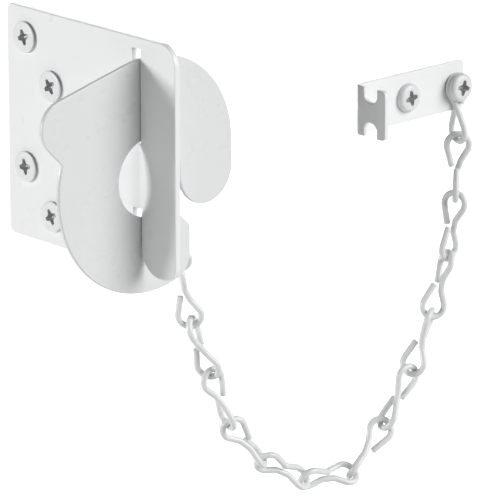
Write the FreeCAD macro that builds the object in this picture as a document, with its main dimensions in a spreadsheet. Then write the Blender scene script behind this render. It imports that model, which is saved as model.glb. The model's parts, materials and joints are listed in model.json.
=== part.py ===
"""Door chain guard: a keeper plate with a turning hook disc, a jamb bracket and the jack chain between them.

Millimetres, +Z up. The origin is on the keeper plate's mounting face, in the hook disc's middle plane and level
with its centre. +X runs along the keeper plate towards its free tongue, and +Y goes into the door behind it.
"""
import FreeCAD
import Part

import math
import os

import Sketcher
from FreeCAD import Placement, Rotation, Vector

DOC = FreeCAD.newDocument("door_chain_guard")
SHEET = DOC.addObject("Spreadsheet::Sheet", "Dimensions")

# Driving dimensions, in millimetres and degrees.
DIMENSIONS = {
    # keeper plate
    "plate_thick": 1.7, "plate_left": 53.3, "plate_right": 14.3, "plate_top": 38.5, "plate_bottom": 26.0,
    "plate_corner": 2.3, "tongue_top_corner": 6.0, "tongue_low_corner": 5.0, "tongue_inner_corner": 7.0,
    "slot_left": 2.4, "slot_right": 0.9, "upper_slot_top": 35.5, "upper_slot_low": 9.9, "lower_slot_top": 8.1,
    "outer_column": 45.5, "inner_column": 34.9, "outer_high": 30.3, "outer_low": 5.9,
    "inner_high": 18.6, "inner_low": 17.8, "plate_hole": 4.8, "sink_depth": 1.3,
    # hook disc
    "disc_thick": 1.3, "disc_set_back": 1.6, "disc_outer": 31.7, "disc_hole": 10.8, "crown_outer": 33.0,
    "rear_reach": 29.6, "rear_arc_start": 70.0, "hook_end_drop": 1.7, "ear_round": 7.5, "ear_forward": 29.8,
    "ear_up": 19.0, "lobe_rear": 14.4, "lobe_tip_drop": 16.0, "lobe_corner": 7.0, "edge_round": 0.35,
    # jamb bracket
    "bracket_thick": 1.4, "bracket_face": 4.85, "bracket_front": 73.8, "bracket_long": 41.3,
    "bracket_high": 14.0, "bracket_level": 6.05, "flange_reach": 12.3, "bend_inside": 1.0, "bracket_corner": 1.5,
    "notch_wide": 5.0, "notch_deep": 4.2, "notch_centre": 6.5, "notch_round": 2.2, "bracket_hole_one": 19.3,
    "bracket_hole_two": 37.6, "bracket_hole": 4.6, "chain_seat": 2.0,
    # screws
    "flat_head": 8.6, "flat_rim": 0.35, "seat_gap": 0.03, "pan_head": 8.2, "pan_head_high": 1.8, "pan_round": 1.3,
    "neck": 4.2, "thread": 3.6, "keeper_screw_long": 17.0, "bracket_screw_long": 14.0, "screw_point": 4.0,
    "cross_wide": 1.0, "cross_long": 4.4, "cross_deep": 1.5,
    # chain
    "wire": 1.8, "wire_gap": 0.2, "pitch": 17.0, "loop_round": 3.15, "tip_aside": 1.45, "tip_short": 0.2, "last_tip_short": 1.0,
    "waist_aside": 1.0, "waist_half": 1.8, "waist_bend": 2.6, "loop_twist": 100.0,
    "chain_heading": 6.73, "first_joint_x": -5.35, "first_joint_y": 17.55, "first_joint_z": -29.3,
    "low_slack": 0.5, "low_link_one": 6, "low_link_two": 7,
    "hook_half": 2.2, "hook_top": 9.6, "hook_tip": 15.6, "hook_lean": 29.0, "hook_bend": 14.0,
}

# How the chain hangs: for links 1 to 12, the slope above level and the turn about the link's own length, in degrees.
HANG = [(-77.5, 28.0), (-68.0, 50.0), (-68.0, 86.0), (-48.5, 112.0), (-31.0, 126.0), (-4.5, 118.0),
        (46.0, 322.0), (57.0, 352.0), (65.5, 30.0), (70.0, 67.0), (82.0, 104.0), (87.5, 141.0)]
LAST_TURN = -3.4


def fill_sheet():
    for row, (name, value) in enumerate(DIMENSIONS.items(), start=1):
        SHEET.set(f"A{row}", name)
        SHEET.set(f"B{row}", str(value))
        SHEET.setAlias(f"B{row}", name)
    DOC.recompute()


def dim(name):
    return float(getattr(SHEET, name))


# ---------------------------------------------------------------- sketch and feature helpers

def new_body(label):
    body = DOC.addObject("PartDesign::Body", label)
    body.Label = label
    return body


def origin_plane(body, role):
    return next(item for item in body.Origin.OriginFeatures if item.Role == role)


def new_sketch(body, name, role, offset=""):
    """An empty sketch on one of the body's origin planes; offset is an expression along the plane's normal."""
    sketch = body.newObject("Sketcher::SketchObject", name)
    sketch.AttachmentSupport = [(origin_plane(body, role), "")]
    sketch.MapMode = "FlatFace"
    if offset:
        sketch.setExpression("AttachmentOffset.Base.z", offset)
    return sketch


def bind(sketch, constraint, expression):
    index = sketch.addConstraint(constraint)
    sketch.setExpression(f"Constraints[{index}]", expression)


def place_point(sketch, geometry, corner, across, up):
    """Holds a sketch point at (across, up), both expressions in sheet names."""
    bind(sketch, Sketcher.Constraint("DistanceX", -1, 1, geometry, corner, 1.0), across)
    bind(sketch, Sketcher.Constraint("DistanceY", -1, 1, geometry, corner, 1.0), up)


def rectangle(sketch, left, low, right, high):
    """A rectangle whose two opposite corners are bound to expressions."""
    points = [Vector(0, 0), Vector(1, 0), Vector(1, 1), Vector(0, 1)]
    lines = [Part.LineSegment(points[i], points[(i + 1) % 4]) for i in range(4)]
    first = sketch.addGeometry(lines, False)[0]
    for i in range(4):
        sketch.addConstraint(Sketcher.Constraint("Coincident", first + i, 2, first + (i + 1) % 4, 1))
    for i in (0, 2):
        sketch.addConstraint(Sketcher.Constraint("Horizontal", first + i))
        sketch.addConstraint(Sketcher.Constraint("Vertical", first + i + 1))
    place_point(sketch, first, 1, left, low)
    place_point(sketch, first + 2, 1, right, high)


def polygon(sketch, corners):
    """A closed polygon whose corners are bound to pairs of expressions."""
    count = len(corners)
    start = [on_circle(5.0, 360.0 * i / count) for i in range(count)]
    lines = [Part.LineSegment(start[i], start[(i + 1) % count]) for i in range(count)]
    first = sketch.addGeometry(lines, False)[0]
    for i in range(count):
        sketch.addConstraint(Sketcher.Constraint("Coincident", first + i, 2, first + (i + 1) % count, 1))
    for i, (across, up) in enumerate(corners):
        place_point(sketch, first + i, 1, across, up)


def circle(sketch, across, up, radius):
    index = sketch.addGeometry(Part.Circle(Vector(0, 0), Vector(0, 0, 1), 1.0), False)
    place_point(sketch, index, 3, across, up)
    bind(sketch, Sketcher.Constraint("Radius", index, 1.0), radius)


def pad(body, sketch, name, length, midplane=False, back=False):
    feature = body.newObject("PartDesign::Pad", name)
    feature.Profile = sketch
    feature.setExpression("Length", length)
    feature.Midplane = midplane
    feature.Reversed = back
    DOC.recompute()
    return feature


def cut(body, sketch, name, depth=""):
    """A pocket to the depth given, or through everything both ways. It has to take material off."""
    before = body.Shape.Volume
    feature = body.newObject("PartDesign::Pocket", name)
    feature.Profile = sketch
    if depth:
        feature.setExpression("Length", depth)
    else:
        feature.Type = "ThroughAll"
        feature.Midplane = True
    DOC.recompute()
    if body.Shape.Volume > before - 0.01:
        raise RuntimeError(f"{name} cut nothing")


def edges_where(shape, test):
    return [f"Edge{i}" for i, edge in enumerate(shape.Edges, start=1) if test(edge)]


def round_edges(body, name, test, radius):
    """Fillets the edges of the body's tip that pass the test."""
    base = body.Tip
    found = edges_where(base.Shape, test)
    if not found:
        raise RuntimeError(f"{name} found no edge")
    feature = body.newObject("PartDesign::Fillet", name)
    feature.Base = (base, found)
    feature.setExpression("Radius", radius)
    DOC.recompute()


def near(value, target):
    return abs(value - target) < 0.02


def runs_along(edge, axis):
    """True for a straight edge parallel to the axis vector."""
    return edge.Curve.TypeId == "Part::GeomLine" and abs(abs(edge.Curve.Direction.dot(axis)) - 1) < 1e-6


# ---------------------------------------------------------------- keeper plate

def screw_places():
    """Sheet expressions for the four keeper screws: across and up from the origin."""
    return [("-Dimensions.outer_column", "Dimensions.outer_high"),
            ("-Dimensions.inner_column", "Dimensions.inner_high"),
            ("-Dimensions.outer_column", "-Dimensions.outer_low"),
            ("-Dimensions.inner_column", "-Dimensions.inner_low")]


def make_keeper_plate():
    body = new_body("keeper_plate")
    outline = new_sketch(body, "plate_outline", "XZ_Plane")
    rectangle(outline, "-Dimensions.plate_left", "-Dimensions.plate_bottom",
              "Dimensions.plate_right", "Dimensions.plate_top")
    pad(body, outline, "plate_pad", "Dimensions.plate_thick")

    upper_slot = new_sketch(body, "upper_slot", "XZ_Plane")
    rectangle(upper_slot, "-Dimensions.slot_left", "Dimensions.upper_slot_low",
              "Dimensions.slot_right", "Dimensions.upper_slot_top")
    cut(body, upper_slot, "upper_slot_cut")

    lower_slot = new_sketch(body, "lower_slot", "XZ_Plane")
    rectangle(lower_slot, "-Dimensions.slot_left", "-Dimensions.plate_bottom - 1",
              "Dimensions.slot_right", "-Dimensions.lower_slot_top")
    cut(body, lower_slot, "lower_slot_cut")

    holes = new_sketch(body, "screw_holes", "XZ_Plane")
    for across, up in screw_places():
        circle(holes, across, up, "Dimensions.plate_hole / 2")
    cut(body, holes, "screw_holes_cut")

    through = Vector(0, 1, 0)

    def corner(x, z):
        def test(edge):
            point = edge.CenterOfMass
            return runs_along(edge, through) and near(point.x, x) and near(point.z, z)
        return test

    left, right, top, bottom = -dim("plate_left"), dim("plate_right"), dim("plate_top"), -dim("plate_bottom")
    round_edges(body, "left_corners",
                lambda edge: corner(left, top)(edge) or corner(left, bottom)(edge), "Dimensions.plate_corner")
    round_edges(body, "tongue_top", corner(right, top), "Dimensions.tongue_top_corner")
    round_edges(body, "tongue_low", corner(right, bottom), "Dimensions.tongue_low_corner")
    round_edges(body, "tongue_inner", corner(dim("slot_right"), bottom), "Dimensions.tongue_inner_corner")

    mouth = edges_where(body.Tip.Shape, lambda edge: edge.Curve.TypeId == "Part::GeomCircle"
                        and near(edge.Curve.Radius, dim("plate_hole") / 2) and edge.CenterOfMass.y < -0.5)
    base = body.Tip
    sink = body.newObject("PartDesign::Chamfer", "countersinks")
    sink.Base = (base, mouth)
    sink.setExpression("Size", "Dimensions.sink_depth")
    DOC.recompute()

    front = -dim("plate_thick")
    round_edges(body, "front_edge",
                lambda edge: all(near(v.Y, front) for v in edge.Vertexes)
                and edge.Curve.TypeId in ("Part::GeomLine", "Part::GeomCircle")
                and (edge.Curve.TypeId == "Part::GeomLine" or len(edge.Vertexes) == 2)
                and abs(edge.CenterOfMass.x) > dim("slot_left") + 0.2, "Dimensions.edge_round")
    return body


# ---------------------------------------------------------------- hook disc

def on_circle(radius, degrees):
    return Vector(radius * math.cos(math.radians(degrees)), radius * math.sin(math.radians(degrees)), 0)


def disc_outline():
    """The disc's closed outline in its own plane (rearwards, up), as edges in order round the piece."""
    outer, hole, crown = dim("disc_outer"), dim("disc_hole"), dim("crown_outer")
    reach = dim("rear_reach")

    # rear: the crown arc turns into a tighter one, which ends upright at the disc's rearmost point
    start = on_circle(1.0, dim("rear_arc_start"))
    rear_round = (reach - crown * start.x) / (1 - start.x)
    rear_centre = start * (crown - rear_round)
    rear_top = start * crown
    rear_mid = rear_centre + on_circle(rear_round, dim("rear_arc_start") / 2)
    rear_end = Vector(reach, rear_centre.y, 0)

    # hook end: a half circle from the rear edge round to the hole
    end_round = (reach - hole) / 2
    end_centre = Vector(hole + end_round, -dim("hook_end_drop"), 0)
    hook_out = end_centre + Vector(end_round, 0, 0)
    hook_low = end_centre - Vector(0, end_round, 0)
    hook_in = end_centre - Vector(end_round, 0, 0)
    hole_rear = Vector(hole, 0, 0)

    # lobe: a 45 degree edge from the hole to the tip, then down the rear edge to a rounded corner
    tip = Vector(dim("lobe_rear"), -dim("lobe_tip_drop"), 0)
    half = (tip.x - tip.y) / 2
    slide = half - math.sqrt(half**2 - (tip.x**2 + tip.y**2 - hole**2) / 2)
    lobe_inner = tip + Vector(-slide, slide, 0)
    corner = dim("lobe_corner")
    corner_x = dim("lobe_rear") - corner
    corner_centre = Vector(corner_x, -math.sqrt((outer - corner)**2 - corner_x**2), 0)
    corner_rear = corner_centre + Vector(corner, 0, 0)
    corner_low = corner_centre * (outer / corner_centre.Length)
    bisector = (corner_rear + corner_low) * 0.5 - corner_centre
    corner_mid = corner_centre + bisector * (corner / bisector.Length)

    # ear: a round thumb lobe whose top edge runs straight on to the crown, and whose underside slopes back
    ear, ear_round = Vector(-dim("ear_forward"), dim("ear_up"), 0), dim("ear_round")
    top_angle = math.degrees(math.atan2(ear.y, ear.x) - math.acos((crown - ear_round) / ear.Length))
    ear_top = ear + on_circle(ear_round, top_angle)
    crown_front = on_circle(crown, top_angle)
    ear_low = ear + on_circle(ear_round, 225)
    ear_front = ear + on_circle(ear_round, (top_angle + 225) / 2)
    total = ear_low.y - ear_low.x
    down = total / 2 - math.sqrt(total**2 / 4 - (ear_low.x**2 + ear_low.y**2 - outer**2) / 2)
    notch = ear_low + Vector(down, -down, 0)

    front = on_circle(outer, (math.degrees(math.atan2(notch.y, notch.x))
                              + math.degrees(math.atan2(corner_low.y, corner_low.x)) + 360) / 2)
    crown_mid = on_circle(crown, (top_angle + dim("rear_arc_start")) / 2)
    hole_mid = on_circle(hole, (360 + math.degrees(math.atan2(lobe_inner.y, lobe_inner.x))) / 2)
    return [
        Part.Arc(crown_front, crown_mid, rear_top),
        Part.Arc(rear_top, rear_mid, rear_end),
        Part.LineSegment(rear_end, hook_out),
        Part.Arc(hook_out, hook_low, hook_in),
        Part.LineSegment(hook_in, hole_rear),
        Part.Arc(hole_rear, hole_mid, lobe_inner),
        Part.LineSegment(lobe_inner, tip),
        Part.LineSegment(tip, corner_rear),
        Part.Arc(corner_rear, corner_mid, corner_low),
        Part.Arc(corner_low, front, notch),
        Part.LineSegment(notch, ear_low),
        Part.Arc(ear_low, ear_front, ear_top),
        Part.LineSegment(ear_top, crown_front),
    ]


def make_hook_disc():
    body = new_body("hook_disc")
    sketch = new_sketch(body, "disc_outline", "YZ_Plane")
    edges = disc_outline()
    sketch.addGeometry(edges, False)
    for i in range(len(edges)):
        sketch.addConstraint(Sketcher.Constraint("Coincident", i, end_corner(edges, i), (i + 1) % len(edges),
                                                 start_corner(edges, (i + 1) % len(edges))))
    for index, expression in ((0, "Dimensions.crown_outer"), (5, "Dimensions.disc_hole"),
                              (8, "Dimensions.lobe_corner"), (9, "Dimensions.disc_outer"),
                              (11, "Dimensions.ear_round")):
        bind(sketch, Sketcher.Constraint("Radius", index, sketch.Geometry[index].Radius), expression)
    pad(body, sketch, "disc_pad", "Dimensions.disc_thick", midplane=True)
    half = dim("disc_thick") / 2
    round_edges(body, "disc_edge", lambda edge: all(near(abs(v.X), half) for v in edge.Vertexes)
                and near(abs(edge.CenterOfMass.x), half), "Dimensions.edge_round")
    body.setExpression("Placement.Base.y", "Dimensions.disc_set_back")
    return body


def start_corner(edges, index):
    """A clockwise arc is stored the other way round in a sketch, so its first point is its end."""
    return 2 if is_clockwise(edges[index]) else 1


def end_corner(edges, index):
    return 1 if is_clockwise(edges[index]) else 2


def is_clockwise(edge):
    return isinstance(edge, Part.Arc) and edge.toShape().Curve.Axis.z < 0


# ---------------------------------------------------------------- jamb bracket

def make_jamb_bracket():
    body = new_body("jamb_bracket")
    section = new_sketch(body, "bracket_section", "XY_Plane", "Dimensions.bracket_level")
    back = "Dimensions.bracket_face - Dimensions.bracket_thick"
    reach = back + " + Dimensions.flange_reach"
    far = "Dimensions.bracket_front + Dimensions.bracket_long"
    inner = "Dimensions.bracket_front + Dimensions.bracket_thick"
    polygon(section, [(back, "Dimensions.bracket_front"), (reach, "Dimensions.bracket_front"), (reach, inner),
                      ("Dimensions.bracket_face", inner), ("Dimensions.bracket_face", far), (back, far)])
    pad(body, section, "bracket_pad", "Dimensions.bracket_high", midplane=True)

    level, half = dim("bracket_level"), dim("bracket_high") / 2
    face, front = dim("bracket_face"), dim("bracket_front")
    thick = dim("bracket_thick")
    upright = Vector(0, 0, 1)
    round_edges(body, "bend_inner", lambda edge: runs_along(edge, upright) and near(edge.CenterOfMass.x, face)
                and near(edge.CenterOfMass.y, front + thick), "Dimensions.bend_inside")
    round_edges(body, "bend_outer", lambda edge: runs_along(edge, upright)
                and near(edge.CenterOfMass.x, face - thick) and near(edge.CenterOfMass.y, front),
                "Dimensions.bend_inside + Dimensions.bracket_thick")

    notches = new_sketch(body, "ring_notches", "XZ_Plane")
    left = back + " + Dimensions.notch_centre - Dimensions.notch_wide / 2"
    right = back + " + Dimensions.notch_centre + Dimensions.notch_wide / 2"
    for sign in ("+", "-"):
        edge_level = f"Dimensions.bracket_level {sign} Dimensions.bracket_high / 2"
        inside = f"{edge_level} {'-' if sign == '+' else '+'} Dimensions.notch_deep"
        outside = f"{edge_level} {sign} 1"
        if sign == "+":
            rectangle(notches, left, inside, right, outside)
        else:
            rectangle(notches, left, outside, right, inside)
    cut(body, notches, "ring_notches_cut")

    def notch_floor(edge):
        floor = abs(abs(edge.CenterOfMass.z - level) - (half - dim("notch_deep"))) < 0.02
        return runs_along(edge, Vector(0, 1, 0)) and floor
    round_edges(body, "notch_rounds", notch_floor, "Dimensions.notch_round")

    def leg_corner(edge):
        return (runs_along(edge, Vector(0, 1, 0)) and near(abs(edge.CenterOfMass.z - level), half)
                and near(edge.CenterOfMass.x, face - thick + dim("flange_reach")))
    round_edges(body, "leg_corners", leg_corner, "Dimensions.bracket_corner")

    def far_corner(edge):
        return (runs_along(edge, Vector(1, 0, 0)) and near(abs(edge.CenterOfMass.z - level), half)
                and near(edge.CenterOfMass.y, front + dim("bracket_long")))
    round_edges(body, "far_corners", far_corner, "Dimensions.bracket_corner")

    holes = new_sketch(body, "bracket_holes", "YZ_Plane")
    for place in ("bracket_hole_one", "bracket_hole_two"):
        circle(holes, f"Dimensions.bracket_front + Dimensions.{place}", "Dimensions.bracket_level",
               "Dimensions.bracket_hole / 2")
    cut(body, holes, "bracket_holes_cut")
    return body


# ---------------------------------------------------------------- screws

def cut_cross(body, top):
    """The cross recess in a screw's head, whose top is at the height given."""
    sketch = new_sketch(body, "cross", "XY_Plane", top)
    wide, long = "Dimensions.cross_wide / 2", "Dimensions.cross_long / 2"
    quarter = [(wide, wide), (wide, long), ("-" + wide, long), ("-" + wide, wide), ("-" + long, wide),
               ("-" + long, "-" + wide), ("-" + wide, "-" + wide), ("-" + wide, "-" + long),
               (wide, "-" + long), (wide, "-" + wide), (long, "-" + wide), (long, wide)]
    polygon(sketch, quarter)
    cut(body, sketch, "cross_cut", "Dimensions.cross_deep")


def turn_screw(body, profile):
    """Revolves a half section, given as (radius, height) expressions, round the body's Z axis."""
    sketch = new_sketch(body, "screw_profile", "XZ_Plane")
    polygon(sketch, profile)
    turned = body.newObject("PartDesign::Revolution", "screw_turned")
    turned.Profile = sketch
    turned.ReferenceAxis = (sketch, ["V_Axis"])
    turned.Angle = 360
    DOC.recompute()


def shank_profile(seat, long):
    """The part of a screw below its head: a plain neck down to the back of the plate, the thread and the point."""
    return [("Dimensions.neck / 2", f"-({seat})"), ("Dimensions.thread / 2", f"-({seat})"),
            ("Dimensions.thread / 2", f"-({seat}) - Dimensions.{long} + Dimensions.screw_point"),
            ("0", f"-({seat}) - Dimensions.{long}")]


def make_keeper_screw(label, across, up):
    """A countersunk screw; its height 0 is the plate's front face."""
    body = new_body(label)
    seat_radius = "(Dimensions.plate_hole / 2 + Dimensions.sink_depth - Dimensions.seat_gap)"
    rim = f"Dimensions.flat_head / 2 - {seat_radius}"
    top = f"{rim} + Dimensions.flat_rim"
    profile = [("0", top), ("Dimensions.flat_head / 2 - 0.15", top), ("Dimensions.flat_head / 2", f"{top} - 0.15"),
               ("Dimensions.flat_head / 2", rim), ("Dimensions.neck / 2", f"Dimensions.neck / 2 - {seat_radius}")]
    turn_screw(body, profile + shank_profile("Dimensions.plate_thick", "keeper_screw_long"))
    cut_cross(body, top)
    body.Placement = Placement(Vector(0, 0, 0), Rotation(Vector(1, 0, 0), 90))
    body.setExpression("Placement.Base.x", across)
    body.setExpression("Placement.Base.y", "-Dimensions.plate_thick")
    body.setExpression("Placement.Base.z", up)
    return body


def make_bracket_screw(label, place, stand_off):
    """A pan head screw; its height 0 is the underside of its head, stand_off above the bracket."""
    body = new_body(label)
    profile = [("0", "Dimensions.pan_head_high"), ("Dimensions.pan_head / 2", "Dimensions.pan_head_high"),
               ("Dimensions.pan_head / 2", "0"), ("Dimensions.neck / 2", "0")]
    turn_screw(body, profile + shank_profile(f"{stand_off} + Dimensions.bracket_thick", "bracket_screw_long"))
    round_edges(body, "head_round", lambda edge: near(edge.CenterOfMass.z, dim("pan_head_high")),
                "Dimensions.pan_round")
    cut_cross(body, "Dimensions.pan_head_high")
    body.Placement = Placement(Vector(0, 0, 0), Rotation(Vector(0, 1, 0), 90))
    body.setExpression("Placement.Base.x", f"Dimensions.bracket_face + {stand_off}")
    body.setExpression("Placement.Base.y", f"Dimensions.bracket_front + Dimensions.{place}")
    body.setExpression("Placement.Base.z", "Dimensions.bracket_level")
    return body


# ---------------------------------------------------------------- chain

def bent_path(corners):
    """A wire through the points given, each inner corner rounded to its own bend radius."""
    edges, start = [], corners[0][0]
    for i in range(1, len(corners) - 1):
        corner, radius = corners[i]
        before = (corners[i - 1][0] - corner).normalize()
        after = (corners[i + 1][0] - corner).normalize()
        half = before.getAngle(after) / 2
        tangent = radius / math.tan(half)
        bisector = (before + after).normalize()
        middle = corner + bisector * (radius / math.sin(half) - radius)
        enter, leave = corner + before * tangent, corner + after * tangent
        if (enter - start).Length > 1e-6:
            edges.append(Part.LineSegment(start, enter).toShape())
        edges.append(Part.Arc(enter, middle, leave).toShape())
        start = leave
    if (corners[-1][0] - start).Length > 1e-6:
        edges.append(Part.LineSegment(start, corners[-1][0]).toShape())
    return Part.Wire(edges)


def wire_solid(path):
    """Round wire along a path. Its volume has to be the wire's section times the path's length."""
    radius = dim("wire") / 2
    first = path.Edges[0]
    start = first.valueAt(first.FirstParameter)
    heading = first.tangentAt(first.FirstParameter)
    profile = Part.Wire([Part.makeCircle(radius, start, heading)])
    solid = path.makePipeShell([profile], True, False)
    expected = math.pi * radius**2 * path.Length
    if not solid.isValid() or abs(solid.Volume / expected - 1) > 0.01:
        raise RuntimeError("the bent wire did not come out whole")
    return solid


def loop_corners(tip, waist):
    """Corners of one loop seen flat, as (aside, along), from its free tip round to the waist of the link.

    Both straight sides are tangents to the loop's arc, whose apex is half a pitch and half a crossing from the
    link's middle.
    """
    radius = dim("loop_round")
    apex = (dim("pitch") + dim("wire") + dim("wire_gap")) / 2
    centre = Vector(0, apex - radius, 0)
    angles = []
    for point, side in ((tip, -1), (waist, 1)):
        spoke = point - centre
        touch = math.atan2(spoke.y, spoke.x) + side * math.acos(radius / spoke.Length)
        angles.append(touch % (2 * math.pi))
    tip_side, waist_side = angles[0], angles[1] - 2 * math.pi
    turning = [tip_side, (tip_side + math.pi / 2) / 2, math.pi / 2, (waist_side + math.pi / 2) / 2, waist_side]
    corners = []
    for i in (1, 3):
        spread = (turning[i - 1] - turning[i + 1]) / 2
        corners.append(centre + on_circle(radius / math.cos(spread), math.degrees(turning[i])))
    return [tip] + corners + [waist]


def link_path(tip_short="tip_short"):
    """A single jack chain link: two open loops about a quarter turn apart, with local Z along the link."""
    tip = Vector(-dim("tip_aside"), dim(tip_short), 0)
    waist = Vector(dim("waist_aside"), dim("waist_half"), 0)
    loop, bend = loop_corners(tip, waist), dim("loop_round")
    twist = math.radians(dim("loop_twist"))
    upper = [Vector(p.x, 0, p.y) for p in loop]
    lower = [Vector(-p.x * math.cos(twist), p.x * math.sin(twist), -p.y) for p in reversed(loop)]
    radii = [0, bend, bend, dim("waist_bend"), dim("waist_bend"), bend, bend, 0]
    return bent_path(list(zip(upper + lower, radii)))


def heading():
    turn = math.radians(dim("chain_heading"))
    return Vector(math.sin(turn), math.cos(turn), 0)


def chain_joints():
    """The points where neighbouring links cross, from the hook's end to the top of the second bracket screw."""
    points = [Vector(dim("first_joint_x"), dim("first_joint_y"), dim("first_joint_z"))]
    for number, (slope, _) in enumerate(HANG, start=1):
        rise = math.radians(slope)
        step = heading() * math.cos(rise) + Vector(0, 0, math.sin(rise))
        sharp_bend = number in (dim("low_link_one"), dim("low_link_two"))
        points.append(points[-1] + step * (dim("pitch") - (dim("low_slack") if sharp_bend else 0)))
    screw_top = Vector(points[-1].x, dim("bracket_front") + dim("bracket_hole_two"),
                       dim("bracket_level") + dim("neck") / 2)
    return points + [screw_top]


def link_placement(start, end, turn):
    """Places a link from one crossing to the next, turned about its own length away from the chain's plane."""
    back = (start - end).normalize()
    plane_normal = heading().cross(Vector(0, 0, 1))
    aside = Rotation(back, -turn).multVec(plane_normal)
    aside = (aside - back * aside.dot(back)).normalize()
    middle = (start + end) * 0.5
    return Placement(middle, Rotation(aside, back.cross(aside), back, "ZXY"))


def make_chain():
    joints = chain_joints()
    turns = [turn for _, turn in HANG] + [LAST_TURN]
    for number, turn in enumerate(turns, start=1):
        link = DOC.addObject("Part::Feature", f"chain_link_{number:02d}")
        link.Label = link.Name
        link.Shape = wire_solid(link_path("last_tip_short" if number == len(turns) else "tip_short"))
        link.Placement = link_placement(joints[number - 1], joints[number], turn)


def make_chain_hook():
    """The end link: a hook over the lower rear edge of the disc's hole, ending in a loop for the first link."""
    lean = math.radians(dim("hook_lean"))
    outward = Vector(0, math.sin(lean), -math.cos(lean))
    centre = Vector(0, dim("disc_set_back"), 0)
    half, top, tip = dim("hook_half"), dim("hook_top"), dim("hook_tip")
    joint = chain_joints()[0]

    bend_point = centre + outward * dim("hook_bend") - Vector(half, 0, 0)
    along = (joint - bend_point).normalize()
    aside = heading().cross(Vector(0, 0, 1))
    loop_side = Rotation(Vector(0, 0, 1), 90 - HANG[0][1]).multVec(aside)
    loop_side = (loop_side - along * loop_side.dot(along)).normalize()

    radius, crossing = dim("loop_round"), (dim("wire") + dim("wire_gap")) / 2
    apex = joint + along * crossing
    loop_centre = apex - along * radius
    distance = (bend_point - loop_centre).Length
    touch = math.acos(radius / distance)

    def on_loop(angle, reach):
        return loop_centre + (loop_side * math.sin(angle) - along * math.cos(angle)) * reach

    steps = [touch + (2 * math.pi - 2 * touch) * i / 6 for i in range(7)]
    spread = steps[1] - steps[0]
    hook_corners = [(centre + outward * tip + Vector(half, 0, 0), 0), (centre + outward * top + Vector(half, 0, 0), half),
                    (centre + outward * top - Vector(half, 0, 0), half), (bend_point, radius)]
    loop_points = [(on_loop(steps[i], radius / math.cos(spread)), radius) for i in (1, 3, 5)]
    end = [(on_loop(steps[6], radius) - (on_loop(steps[6], radius) - bend_point).normalize() * 1.5, 0)]
    hook = DOC.addObject("Part::Feature", "chain_hook")
    hook.Label = "chain_hook"
    hook.Shape = wire_solid(bent_path(hook_corners + loop_points + end))


# ---------------------------------------------------------------- export

def export_parts():
    os.makedirs("parts", exist_ok=True)
    pieces = [obj for obj in DOC.Objects if obj.TypeId in ("PartDesign::Body", "Part::Feature")]
    for obj in DOC.Objects:
        if "Invalid" in obj.State or "Error" in obj.State:
            raise RuntimeError(f"{obj.Label} is not well made: {obj.State}")
    for piece in pieces:
        shape = piece.Shape
        if shape.isNull() or not shape.isValid() or len(shape.Solids) != 1:
            raise RuntimeError(f"{piece.Label} is not one valid solid")
        shape.exportStep(f"parts/{piece.Label}.step")
        print(piece.Label, round(shape.Volume, 1))


fill_sheet()
make_keeper_plate()
make_hook_disc()
for index, (screw_across, screw_up) in enumerate(screw_places(), start=1):
    make_keeper_screw(f"keeper_screw_{index}", screw_across, screw_up)
make_jamb_bracket()
make_bracket_screw("bracket_screw_1", "bracket_hole_one", "0")
make_bracket_screw("bracket_screw_2", "bracket_hole_two", "Dimensions.chain_seat")
make_chain_hook()
make_chain()
DOC.recompute()
export_parts()
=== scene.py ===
"""Looks of the door chain guard: white powder-coated plates, painted wood screws, white jack chain."""
import json
import math

import bmesh
import bpy
from mathutils import Matrix, Vector

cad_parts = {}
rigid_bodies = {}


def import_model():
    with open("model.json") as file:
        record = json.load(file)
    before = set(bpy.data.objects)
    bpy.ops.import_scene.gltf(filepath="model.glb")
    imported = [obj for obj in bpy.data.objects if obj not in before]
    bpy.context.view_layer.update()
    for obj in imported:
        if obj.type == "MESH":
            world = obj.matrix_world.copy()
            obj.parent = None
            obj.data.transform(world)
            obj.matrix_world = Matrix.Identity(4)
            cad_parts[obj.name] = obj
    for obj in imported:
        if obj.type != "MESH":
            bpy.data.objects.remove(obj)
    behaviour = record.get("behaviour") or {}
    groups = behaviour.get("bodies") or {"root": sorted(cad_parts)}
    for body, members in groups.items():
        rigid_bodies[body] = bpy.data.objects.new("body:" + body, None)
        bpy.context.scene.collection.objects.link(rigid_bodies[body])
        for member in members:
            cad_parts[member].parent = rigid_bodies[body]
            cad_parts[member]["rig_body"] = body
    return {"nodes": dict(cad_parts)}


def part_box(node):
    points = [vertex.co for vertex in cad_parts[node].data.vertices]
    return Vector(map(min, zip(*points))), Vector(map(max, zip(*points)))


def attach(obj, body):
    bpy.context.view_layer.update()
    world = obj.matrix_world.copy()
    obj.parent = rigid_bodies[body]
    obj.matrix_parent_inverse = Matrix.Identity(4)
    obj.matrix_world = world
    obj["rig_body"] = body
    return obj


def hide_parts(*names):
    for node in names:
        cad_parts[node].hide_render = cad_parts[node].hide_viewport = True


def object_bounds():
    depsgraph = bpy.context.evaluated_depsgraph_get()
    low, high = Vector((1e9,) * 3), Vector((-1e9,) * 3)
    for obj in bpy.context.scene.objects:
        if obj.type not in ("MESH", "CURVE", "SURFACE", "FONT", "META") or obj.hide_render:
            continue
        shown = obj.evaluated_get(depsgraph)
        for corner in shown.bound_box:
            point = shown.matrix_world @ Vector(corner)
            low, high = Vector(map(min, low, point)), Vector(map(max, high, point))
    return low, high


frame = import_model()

CAD_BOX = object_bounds()
MM = 0.001

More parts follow.
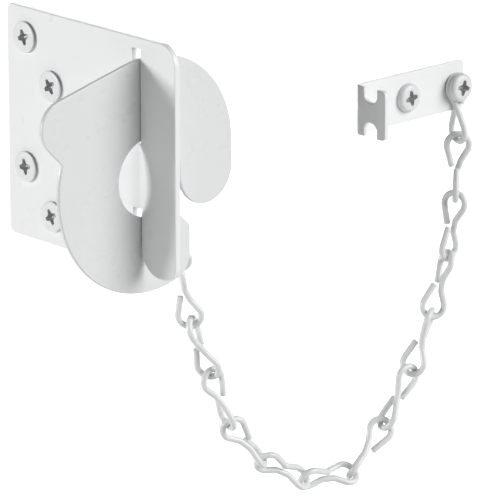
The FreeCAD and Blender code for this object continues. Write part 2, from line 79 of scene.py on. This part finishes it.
# Rounding of the edges: width in millimetres, segments, and the least angle in degrees of a sharp edge.
PLATE_EASE = (0.22, 3, 35.0)
DISC_EASE = (0.1, 2, 35.0)
BRACKET_EASE = (0.3, 3, 35.0)
WIRE_EASE = (0.22, 3, 50.0)
WELD = 1e-6  # metres between points that are one
LEVEL_ANGLE = math.radians(0.4)  # faces this near to level with each other are joined
FLAT_AREA = 8e-6  # square metres; a larger face is one flat side of a plate

# Screws, in millimetres and degrees.
THREAD_PITCH = 1.75
THREAD_CREST = 1.9
THREAD_ROOT = 1.35
THREAD_STEPS = 12  # rings in one pitch
RIDGE_HALF = 0.30  # half the ridge's width, as a share of the pitch
PLAIN_NECK = 0.4  # plain shank under the head before the thread starts
FADE_LONG = 1.6  # over which the thread then rises
NECK_RADIUS = 2.08
NECK_TAPER = 0.5
POINT_LONG = 4.0
TIP_CREST = 0.05
TIP_ROOT = 0.04
SCREW_SIDES = 48
SCREW_SMOOTH = 32.0
CONE_FOOT = -1.62
PAN_HEAD_HIGH = 1.8
RECESS_LONG = 2.3
RECESS_WIDE = 0.6
RECESS_DEEP = 1.5
KEEPER_ROLLS = (20.0, 35.0, 12.0, 28.0)
BRACKET_ROLLS = (8.0, -12.0)

# A screw's material slots.
# The recess slot's darker grey is painted shade inside the cross.
PAINT, SHADED_RECESS, PLATED = 0, 1, 2

# Studio: metres, watts, and a direction that each light shines from.
VIEW_TARGET = Vector((0.02083, 0.01521, -0.01841))
VIEW_TURN = math.radians(47.2)
VIEW_RAISE = math.radians(16.8)
VIEW_DISTANCE = 1.296
VIEW_LENS = 352.8
SENSOR_WIDE = 36.0
FLOOR_DROP = 0.45
FLOOR_HALF = 8.0
BACKDROP_SPOT = (-1.28, 1.22)  # the patch of floor behind the part in the main view
WORLD_STRENGTH = 0.06
SUN_STRENGTH = 2.8
SUN_ANGLE = math.radians(50)


def build_materials():
    return {
        "plate": coat_material("powder_coat", (0.86, 0.865, 0.87), 0.30, 1.0),
        # The disc has the same white coat; its colour is painted darker to stand in for the shade that
        # falls on it.
        "disc": coat_material("disc_coat_painted_shade", (0.75, 0.755, 0.76), 0.28, 0.8),
        # The bracket has the same white coat; its colour is painted brighter to stand in for the stronger
        # light on it.
        "bracket": coat_material("bracket_coat_painted_light", (0.90, 0.905, 0.91), 0.32, 0.9),
        "screw": coat_material("screw_paint", (0.78, 0.785, 0.79), 0.36, 1.3),
        "recess": recess_material(),
        "thread": steel_material(),
        "chain": coat_material("chain_paint", (0.77, 0.775, 0.78), 0.30, 1.2),
        "floor": floor_material(),
    }


def new_material(name):
    material = bpy.data.materials.new(name)
    material.use_nodes = True
    tree = material.node_tree
    return material, tree, tree.nodes["Principled BSDF"]


def noise(tree, coords, scale, detail=3.0, roughness=0.55):
    node = tree.nodes.new("ShaderNodeTexNoise")
    node.inputs["Scale"].default_value = scale
    node.inputs["Detail"].default_value = detail
    node.inputs["Roughness"].default_value = roughness
    tree.links.new(coords, node.inputs["Vector"])
    return node


def ramp(tree, source, stops):
    """A colour ramp fed by a value; stops are (position, colour)."""
    node = tree.nodes.new("ShaderNodeValToRGB")
    elements = node.color_ramp.elements
    while len(elements) < len(stops):
        elements.new(0.5)
    for element, (position, colour) in zip(elements, stops):
        element.position = position
        element.color = (*colour, 1.0)
    tree.links.new(source, node.inputs["Fac"])
    return node


def value_range(tree, source, low, high):
    """Spreads a noise's middle half over a range of values."""
    node = tree.nodes.new("ShaderNodeMapRange")
    node.inputs["From Min"].default_value = 0.25
    node.inputs["From Max"].default_value = 0.75
    node.inputs["To Min"].default_value = low
    node.inputs["To Max"].default_value = high
    tree.links.new(source, node.inputs["Value"])
    return node


def bump(tree, height, distance, strength, normal=None):
    node = tree.nodes.new("ShaderNodeBump")
    node.inputs["Distance"].default_value = distance
    node.inputs["Strength"].default_value = strength
    tree.links.new(height, node.inputs["Height"])
    if normal:
        tree.links.new(normal, node.inputs["Normal"])
    return node


def coat_material(name, colour, roughness, peel):
    """White powder coat: an orange-peel surface, faint mottling and patches of softer gloss."""
    material, tree, shader = new_material(name)
    coords = tree.nodes.new("ShaderNodeTexCoord").outputs["Object"]
    mottle = noise(tree, coords, 60.0, 4.0)
    dusky = tuple(c * 0.99 for c in colour)
    mottled = ramp(tree, mottle.outputs["Fac"], [(0.25, dusky), (0.75, colour)])
    tree.links.new(mottled.outputs["Color"], shader.inputs["Base Color"])

    gloss = noise(tree, coords, 140.0, 2.0)
    spread = value_range(tree, gloss.outputs["Fac"], roughness * 0.85, roughness * 1.25)
    tree.links.new(spread.outputs["Result"], shader.inputs["Roughness"])

    coarse = noise(tree, coords, 700.0, 2.0)
    fine = noise(tree, coords, 2600.0, 2.0)
    first = bump(tree, coarse.outputs["Fac"], 0.00003 * peel, 0.5)
    second = bump(tree, fine.outputs["Fac"], 0.000008 * peel, 0.5, first.outputs["Normal"])
    tree.links.new(second.outputs["Normal"], shader.inputs["Normal"])
    shader.inputs["Specular IOR Level"].default_value = 0.5
    shader.inputs["Coat Weight"].default_value = 0.25
    shader.inputs["Coat Roughness"].default_value = 0.12
    return material


def recess_material():
    """The cross recess: a half-metallic grey, darker than the head's paint, that stands in for painted
    shade inside the recess.
    """
    material, tree, shader = new_material("recess_painted_shade")
    coords = tree.nodes.new("ShaderNodeTexCoord").outputs["Object"]
    recess_shade_noise = noise(tree, coords, 1800.0, 4.0)
    # Greys well below the white paint: painted shade inside the recess, varied at random by the noise.
    stops = [(0.35, (0.34, 0.34, 0.345)), (0.7, (0.52, 0.52, 0.525))]
    colours = ramp(tree, recess_shade_noise.outputs["Fac"], stops)
    tree.links.new(colours.outputs["Color"], shader.inputs["Base Color"])
    spread = value_range(tree, recess_shade_noise.outputs["Fac"], 0.4, 0.65)
    tree.links.new(spread.outputs["Result"], shader.inputs["Roughness"])
    raised = bump(tree, recess_shade_noise.outputs["Fac"], 0.00003, 0.6)
    tree.links.new(raised.outputs["Normal"], shader.inputs["Normal"])
    shader.inputs["Metallic"].default_value = 0.5
    return material


def steel_material():
    """Bright zinc-plated steel on the screw shanks."""
    material, tree, shader = new_material("plated_steel")
    coords = tree.nodes.new("ShaderNodeTexCoord").outputs["Object"]
    streaks = noise(tree, coords, 900.0, 3.0)
    stops = [(0.3, (0.55, 0.56, 0.58)), (0.7, (0.72, 0.73, 0.74))]
    colours = ramp(tree, streaks.outputs["Fac"], stops)
    tree.links.new(colours.outputs["Color"], shader.inputs["Base Color"])
    spread = value_range(tree, streaks.outputs["Fac"], 0.22, 0.38)
    tree.links.new(spread.outputs["Result"], shader.inputs["Roughness"])
    raised = bump(tree, streaks.outputs["Fac"], 0.00001, 0.5)
    tree.links.new(raised.outputs["Normal"], shader.inputs["Normal"])
    shader.inputs["Metallic"].default_value = 1.0
    return material


def floor_material():
    """A plain pale floor with the faintest of grain."""
    material, tree, shader = new_material("pale_floor")
    coords = tree.nodes.new("ShaderNodeTexCoord").outputs["Object"]
    grain = noise(tree, coords, 4.0, 2.0)
    stops = [(0.3, (0.90, 0.90, 0.90)), (0.7, (0.92, 0.92, 0.92))]
    colours = ramp(tree, grain.outputs["Fac"], stops)
    tree.links.new(colours.outputs["Color"], shader.inputs["Base Color"])
    shader.inputs["Roughness"].default_value = 0.9
    shader.inputs["Specular IOR Level"].default_value = 0.1
    return material


# ---------------------------------------------------------------- mesh helpers

def add_object(name, mesh):
    piece = bpy.data.objects.new(name, mesh)
    bpy.context.scene.collection.objects.link(piece)
    return piece


def apply_modifiers(piece):
    """Swaps a piece's mesh for the one its modifiers give."""
    bpy.context.view_layer.update()
    depsgraph = bpy.context.evaluated_depsgraph_get()
    mesh = bpy.data.meshes.new_from_object(piece.evaluated_get(depsgraph))
    piece.modifiers.clear()
    old = piece.data
    piece.data = mesh
    bpy.data.meshes.remove(old)


def smooth(piece, degrees):
    piece.data.shade_smooth()
    piece.data.set_sharp_from_angle(angle=math.radians(degrees))


def eased_copy(node, ease):
    """A copy of a CAD node's shape with its sharp edges rounded over."""
    width, segments, angle = ease
    name = f"{node}_visual"
    builder = bmesh.new()
    builder.from_mesh(frame["nodes"][node].data)
    bmesh.ops.remove_doubles(builder, verts=builder.verts, dist=WELD)
    bmesh.ops.dissolve_limit(builder, angle_limit=LEVEL_ANGLE, verts=builder.verts, edges=builder.edges)
    mesh = bpy.data.meshes.new(name)
    builder.to_mesh(mesh)
    builder.free()
    piece = add_object(name, mesh)
    mesh.materials.clear()
    easing = piece.modifiers.new("easing", "BEVEL")
    easing.width = width * MM
    easing.segments = segments
    easing.limit_method = "ANGLE"
    easing.angle_limit = math.radians(angle)
    easing.use_clamp_overlap = True
    apply_modifiers(piece)
    smooth(piece, angle)
    for face in piece.data.polygons:
        face.use_smooth = face.area < FLAT_AREA
    return piece


def finish_piece(piece, node, slot_name, *materials):
    """Gives a piece its materials and its body, and hides the CAD node it stands in for; the slot name is
    not used.
    """
    piece.data.materials.clear()
    for material in materials:
        piece.data.materials.append(material)
    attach(piece, frame["nodes"][node]["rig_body"])
    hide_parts(node)


# ---------------------------------------------------------------- screws

def lathe_rows(profile, sides):
    """Rings of points round Z for a list of (radius, height) pairs."""
    rows = []
    for radius, height in profile:
        turn = [2 * math.pi * i / sides for i in range(sides)]
        rows.append([Vector((radius * math.cos(t), radius * math.sin(t), height)) for t in turn])
    return rows


def rows_mesh(name, rows):
    """A closed skin over rings of points, with a flat face over the first ring and over the last."""
    builder = bmesh.new()
    rings = [[builder.verts.new(point) for point in row] for row in rows]
    sides = len(rings[0])
    for lower, upper in zip(rings, rings[1:]):
        for i in range(sides):
            j = (i + 1) % sides
            builder.faces.new((lower[i], lower[j], upper[j], upper[i]))
    for ring in (rings[0], rings[-1]):
        builder.faces.new(ring)
    bmesh.ops.recalc_face_normals(builder, faces=builder.faces)
    mesh = bpy.data.meshes.new(name)
    builder.to_mesh(mesh)
    builder.free()
    return mesh


def arc_profile(centre, radius, start, end, steps):
    """Points along an arc, between two angles in degrees."""
    points = []
    for i in range(steps + 1):
        t = math.radians(start + (end - start) * i / steps)
        points.append((centre[0] + radius * math.cos(t), centre[1] + radius * math.sin(t)))
    return points


def flat_head_profile(head_radius, rise):
    """Countersunk head from its neck up, with height 0 at the plate's face: (radius, height) pairs."""
    under_round, top_round = 0.12, 0.22
    cone = [(NECK_RADIUS, CONE_FOOT), (head_radius - under_round, rise - 0.47)]
    rim = arc_profile((head_radius - under_round, rise - 0.35), under_round, -45, 0, 3)
    edge = arc_profile((head_radius - top_round, rise - top_round), top_round, 0, 75, 5)
    crown = [(head_radius * 0.72, rise - 0.03), (head_radius * 0.4, rise), (0.3, rise)]
    return cone + rim + edge + crown


def pan_head_profile(head_radius, rise):
    """Pan head from its flat underside, at height 0, over a wide shoulder: (radius, height) pairs."""
    under_round = 0.15
    under = [(NECK_RADIUS, 0.0), (head_radius - under_round, 0.0)]
    rim = arc_profile((head_radius - under_round, under_round), under_round, -60, 0, 3)
    bend = 0.74 * rise
    shoulder = arc_profile((head_radius - bend, rise - bend), bend, 2, 82, 12)
    crown = [(head_radius * 0.5, rise - 0.005), (0.3, rise)]
    return under + rim + shoulder + crown


def thread_rows(top, length):
    """Rings up a wood-screw shank: a single-start thread from the point that fades out below the neck."""
    rows = []
    count = round(length / (THREAD_PITCH / THREAD_STEPS))
    for n in range(count + 1):
        depth = length * n / count
        to_point = length - depth
        crest = max(TIP_CREST, THREAD_CREST * min(1.0, to_point / POINT_LONG))
        root = max(TIP_ROOT, THREAD_ROOT * min(1.0, (to_point + 0.2) / (POINT_LONG * 0.9)))
        root = min(root, crest)
        fade = min(1.0, max(0.0, (depth - PLAIN_NECK) / FADE_LONG))
        shank = NECK_RADIUS - (NECK_RADIUS - THREAD_ROOT) * min(1.0, depth / NECK_TAPER)
        base = max(root, shank) if depth < NECK_TAPER else root
        row = []
        for i in range(SCREW_SIDES):
            turn = i / SCREW_SIDES
            phase = (depth / THREAD_PITCH + turn) % 1.0
            ridge = max(0.0, 1.0 - abs(phase - 0.5) / RIDGE_HALF)
            radius = base
            if crest > base:
                radius = base + (crest - base) * fade * min(1.0, ridge * 1.15)
            angle = 2 * math.pi * turn
            row.append(Vector((radius * math.cos(angle), radius * math.sin(angle), top - depth)))
        rows.append(row)
    return list(reversed(rows))


def cross_cutter(top):
    """The tapered cross that a driver fits, as a closed mesh from just above the head down into it."""
    # Each level: its height from the top, an arm's length and half width there, and the inner corner.
    levels = ((0.3, RECESS_LONG * 1.06, RECESS_WIDE * 0.8, RECESS_WIDE * 1.55),
              (-RECESS_DEEP * 0.9, 1.15, 0.28, 0.42),
              (-RECESS_DEEP, 0.6, 0.2, 0.25))
    rows = []
    for level, long, wide, root in levels:
        outline = [(root, root), (wide, long), (-wide, long),
                   (-root, root), (-long, wide), (-long, -wide),
                   (-root, -root), (-wide, -long), (wide, -long),
                   (root, -root), (long, -wide), (long, wide)]
        rows.append([(x, y, top + level) for x, y in outline])
    return add_object("cross_cutter", rows_mesh("cross_cutter", rows))


def cut_recess(piece, top):
    """Takes the cross recess out of a screw's head."""
    cutter = cross_cutter(top)
    boolean = piece.modifiers.new("recess", "BOOLEAN")
    boolean.operation = "DIFFERENCE"
    boolean.object = cutter
    apply_modifiers(piece)
    cutter_mesh = cutter.data
    bpy.data.objects.remove(cutter)
    bpy.data.meshes.remove(cutter_mesh)


def build_screw(node, head_profile, seat, outward, roll, materials):
    """One screw in place of its CAD node. seat is how far the plate's back is below the head's datum."""
    low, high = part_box(node)
    axis = max(range(3), key=lambda i: abs(outward[i]))
    across = 1 if axis == 0 else 0
    length = (high[axis] - low[axis]) / MM
    rise = head_profile_rise(node)
    head_radius = (high[across] - low[across]) / 2 / MM - 0.01
    rows = thread_rows(-seat, length - rise - seat - 0.02)
    rows += lathe_rows([(NECK_RADIUS, -seat + 0.01)] + head_profile(head_radius, rise), SCREW_SIDES)
    piece = add_object(f"{node}_visual", rows_mesh(node, rows))
    cut_recess(piece, rise)
    smooth(piece, SCREW_SMOOTH)

    finish_piece(piece, node, "screw_white", materials["screw"], materials["recess"], materials["thread"])
    for face in piece.data.polygons:
        face.material_index = screw_material(face.center, seat, rise)

    top = (low + high) / 2
    top[axis] = high[axis] if outward[axis] > 0 else low[axis]
    scaled = Matrix.Diagonal((MM, MM, MM, 1)) @ Matrix.Translation((0, 0, -rise))
    piece.data.transform(Matrix.Translation(top) @ placing(outward, roll) @ scaled)


def head_profile_rise(node):
    """How far the head's top is above its datum: the plate's face, or the underside of a pan head."""
    if node.startswith("keeper"):
        return (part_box("keeper_plate")[0].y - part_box(node)[0].y) / MM
    return PAN_HEAD_HIGH


def screw_material(point, seat, rise):
    """A face's material slot: the grey of painted shade in the recess, plated behind the plate, painted
    elsewhere.
    """
    x, y, z = point
    in_arm = abs(x) < RECESS_WIDE * 1.6 or abs(y) < RECESS_WIDE * 1.6
    sunk = z < rise - 0.06 and z > -seat + 0.2
    if in_arm and sunk and math.hypot(x, y) < RECESS_LONG * 1.02:
        return SHADED_RECESS
    return PLATED if z < -seat - 0.1 else PAINT


def placing(outward, roll):
    """Turns local +Z to the outward direction, after a roll about it."""
    turn = Vector((0, 0, 1)).rotation_difference(outward).to_matrix().to_4x4()
    return turn @ Matrix.Rotation(math.radians(roll), 4, "Z")


# ---------------------------------------------------------------- studio

def build_studio(materials):
    """The floor, the faint light from all round and the four lights."""
    floor_level = CAD_BOX[0][2] - FLOOR_DROP
    floor_mesh = bpy.data.meshes.new("floor")
    builder = bmesh.new()
    bmesh.ops.create_grid(builder, x_segments=8, y_segments=8, size=FLOOR_HALF)
    builder.to_mesh(floor_mesh)
    builder.free()
    floor = add_object("floor", floor_mesh)
    floor.location = (0, 0, floor_level)
    floor_mesh.materials.append(materials["floor"])

    world = bpy.data.worlds.new("studio")
    world.use_nodes = True
    background = world.node_tree.nodes["Background"]
    background.inputs["Color"].default_value = (1.0, 1.0, 1.0, 1.0)
    background.inputs["Strength"].default_value = WORLD_STRENGTH
    bpy.context.scene.world = world

    sun = bpy.data.lights.new("overhead", "SUN")
    sun.energy = SUN_STRENGTH
    sun.angle = SUN_ANGLE
    aim_light(sun, VIEW_TARGET, (0.80, 0.38, 0.46), 1.2)
    add_panel("front_panel", 0.22, 4.9, VIEW_TARGET, (-0.50, -0.86, 0.12), 0.9)
    add_panel("front_fill", 0.10, 0.5, VIEW_TARGET, (0.03, -1.0, 0.0), 0.8)
    add_panel("backdrop_light", 1.6, 22.0, Vector((*BACKDROP_SPOT, floor_level)), (0, 0, 1), 0.9)
    bpy.context.scene.view_settings.view_transform = "Standard"


def add_panel(name, size, watts, target, source, distance):
    """Adds a square light panel."""
    panel = bpy.data.lights.new(name, "AREA")
    panel.size = size
    panel.energy = watts
    aim_light(panel, target, source, distance)


def aim_light(light, target, source, distance):
    """Puts a light where it shines on a point from the direction given."""
    lamp = bpy.data.objects.new(light.name, light)
    bpy.context.scene.collection.objects.link(lamp)
    towards = Vector(source)
    lamp.location = target + towards.normalized() * distance
    lamp.rotation_euler = towards.to_track_quat("Z", "Y").to_euler()


def build_camera():
    """A long lens, from the right of the plate's face and a little above."""
    level = math.cos(VIEW_RAISE)
    back = Vector((math.sin(VIEW_TURN) * level, -math.cos(VIEW_TURN) * level, math.sin(VIEW_RAISE)))
    data = bpy.data.cameras.new("camera")
    data.lens = VIEW_LENS
    data.sensor_width = SENSOR_WIDE
    data.clip_start = 0.05
    data.clip_end = 50.0
    camera = bpy.data.objects.new("camera", data)
    camera.location = VIEW_TARGET + back * VIEW_DISTANCE
    camera.rotation_euler = back.to_track_quat("Z", "Y").to_euler()
    bpy.context.scene.collection.objects.link(camera)
    bpy.context.scene.camera = camera


def main():
    materials = build_materials()
    plates = (("keeper_plate", PLATE_EASE, "plate"),
              ("hook_disc", DISC_EASE, "disc"),
              ("jamb_bracket", BRACKET_EASE, "bracket"))
    for node, ease, coat in plates:
        finish_piece(eased_copy(node, ease), node, "plate_white", materials[coat])

    plate_back, plate_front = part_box("keeper_plate")[1].y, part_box("keeper_plate")[0].y
    seat = (plate_back - plate_front) / MM
    for number, roll in enumerate(KEEPER_ROLLS, start=1):
        build_screw(f"keeper_screw_{number}", flat_head_profile, seat, Vector((0, -1, 0)), roll, materials)

    bracket_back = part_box("jamb_bracket")[0].x
    for number, roll in enumerate(BRACKET_ROLLS, start=1):
        node = f"bracket_screw_{number}"
        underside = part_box(node)[1].x - PAN_HEAD_HIGH * MM
        seat = (underside - bracket_back) / MM
        build_screw(node, pan_head_profile, seat, Vector((1, 0, 0)), roll, materials)

    for node in sorted(frame["nodes"]):
        if node.startswith("chain"):
            finish_piece(eased_copy(node, WIRE_EASE), node, "chain_white", materials["chain"])

    build_studio(materials)
    build_camera()


main()
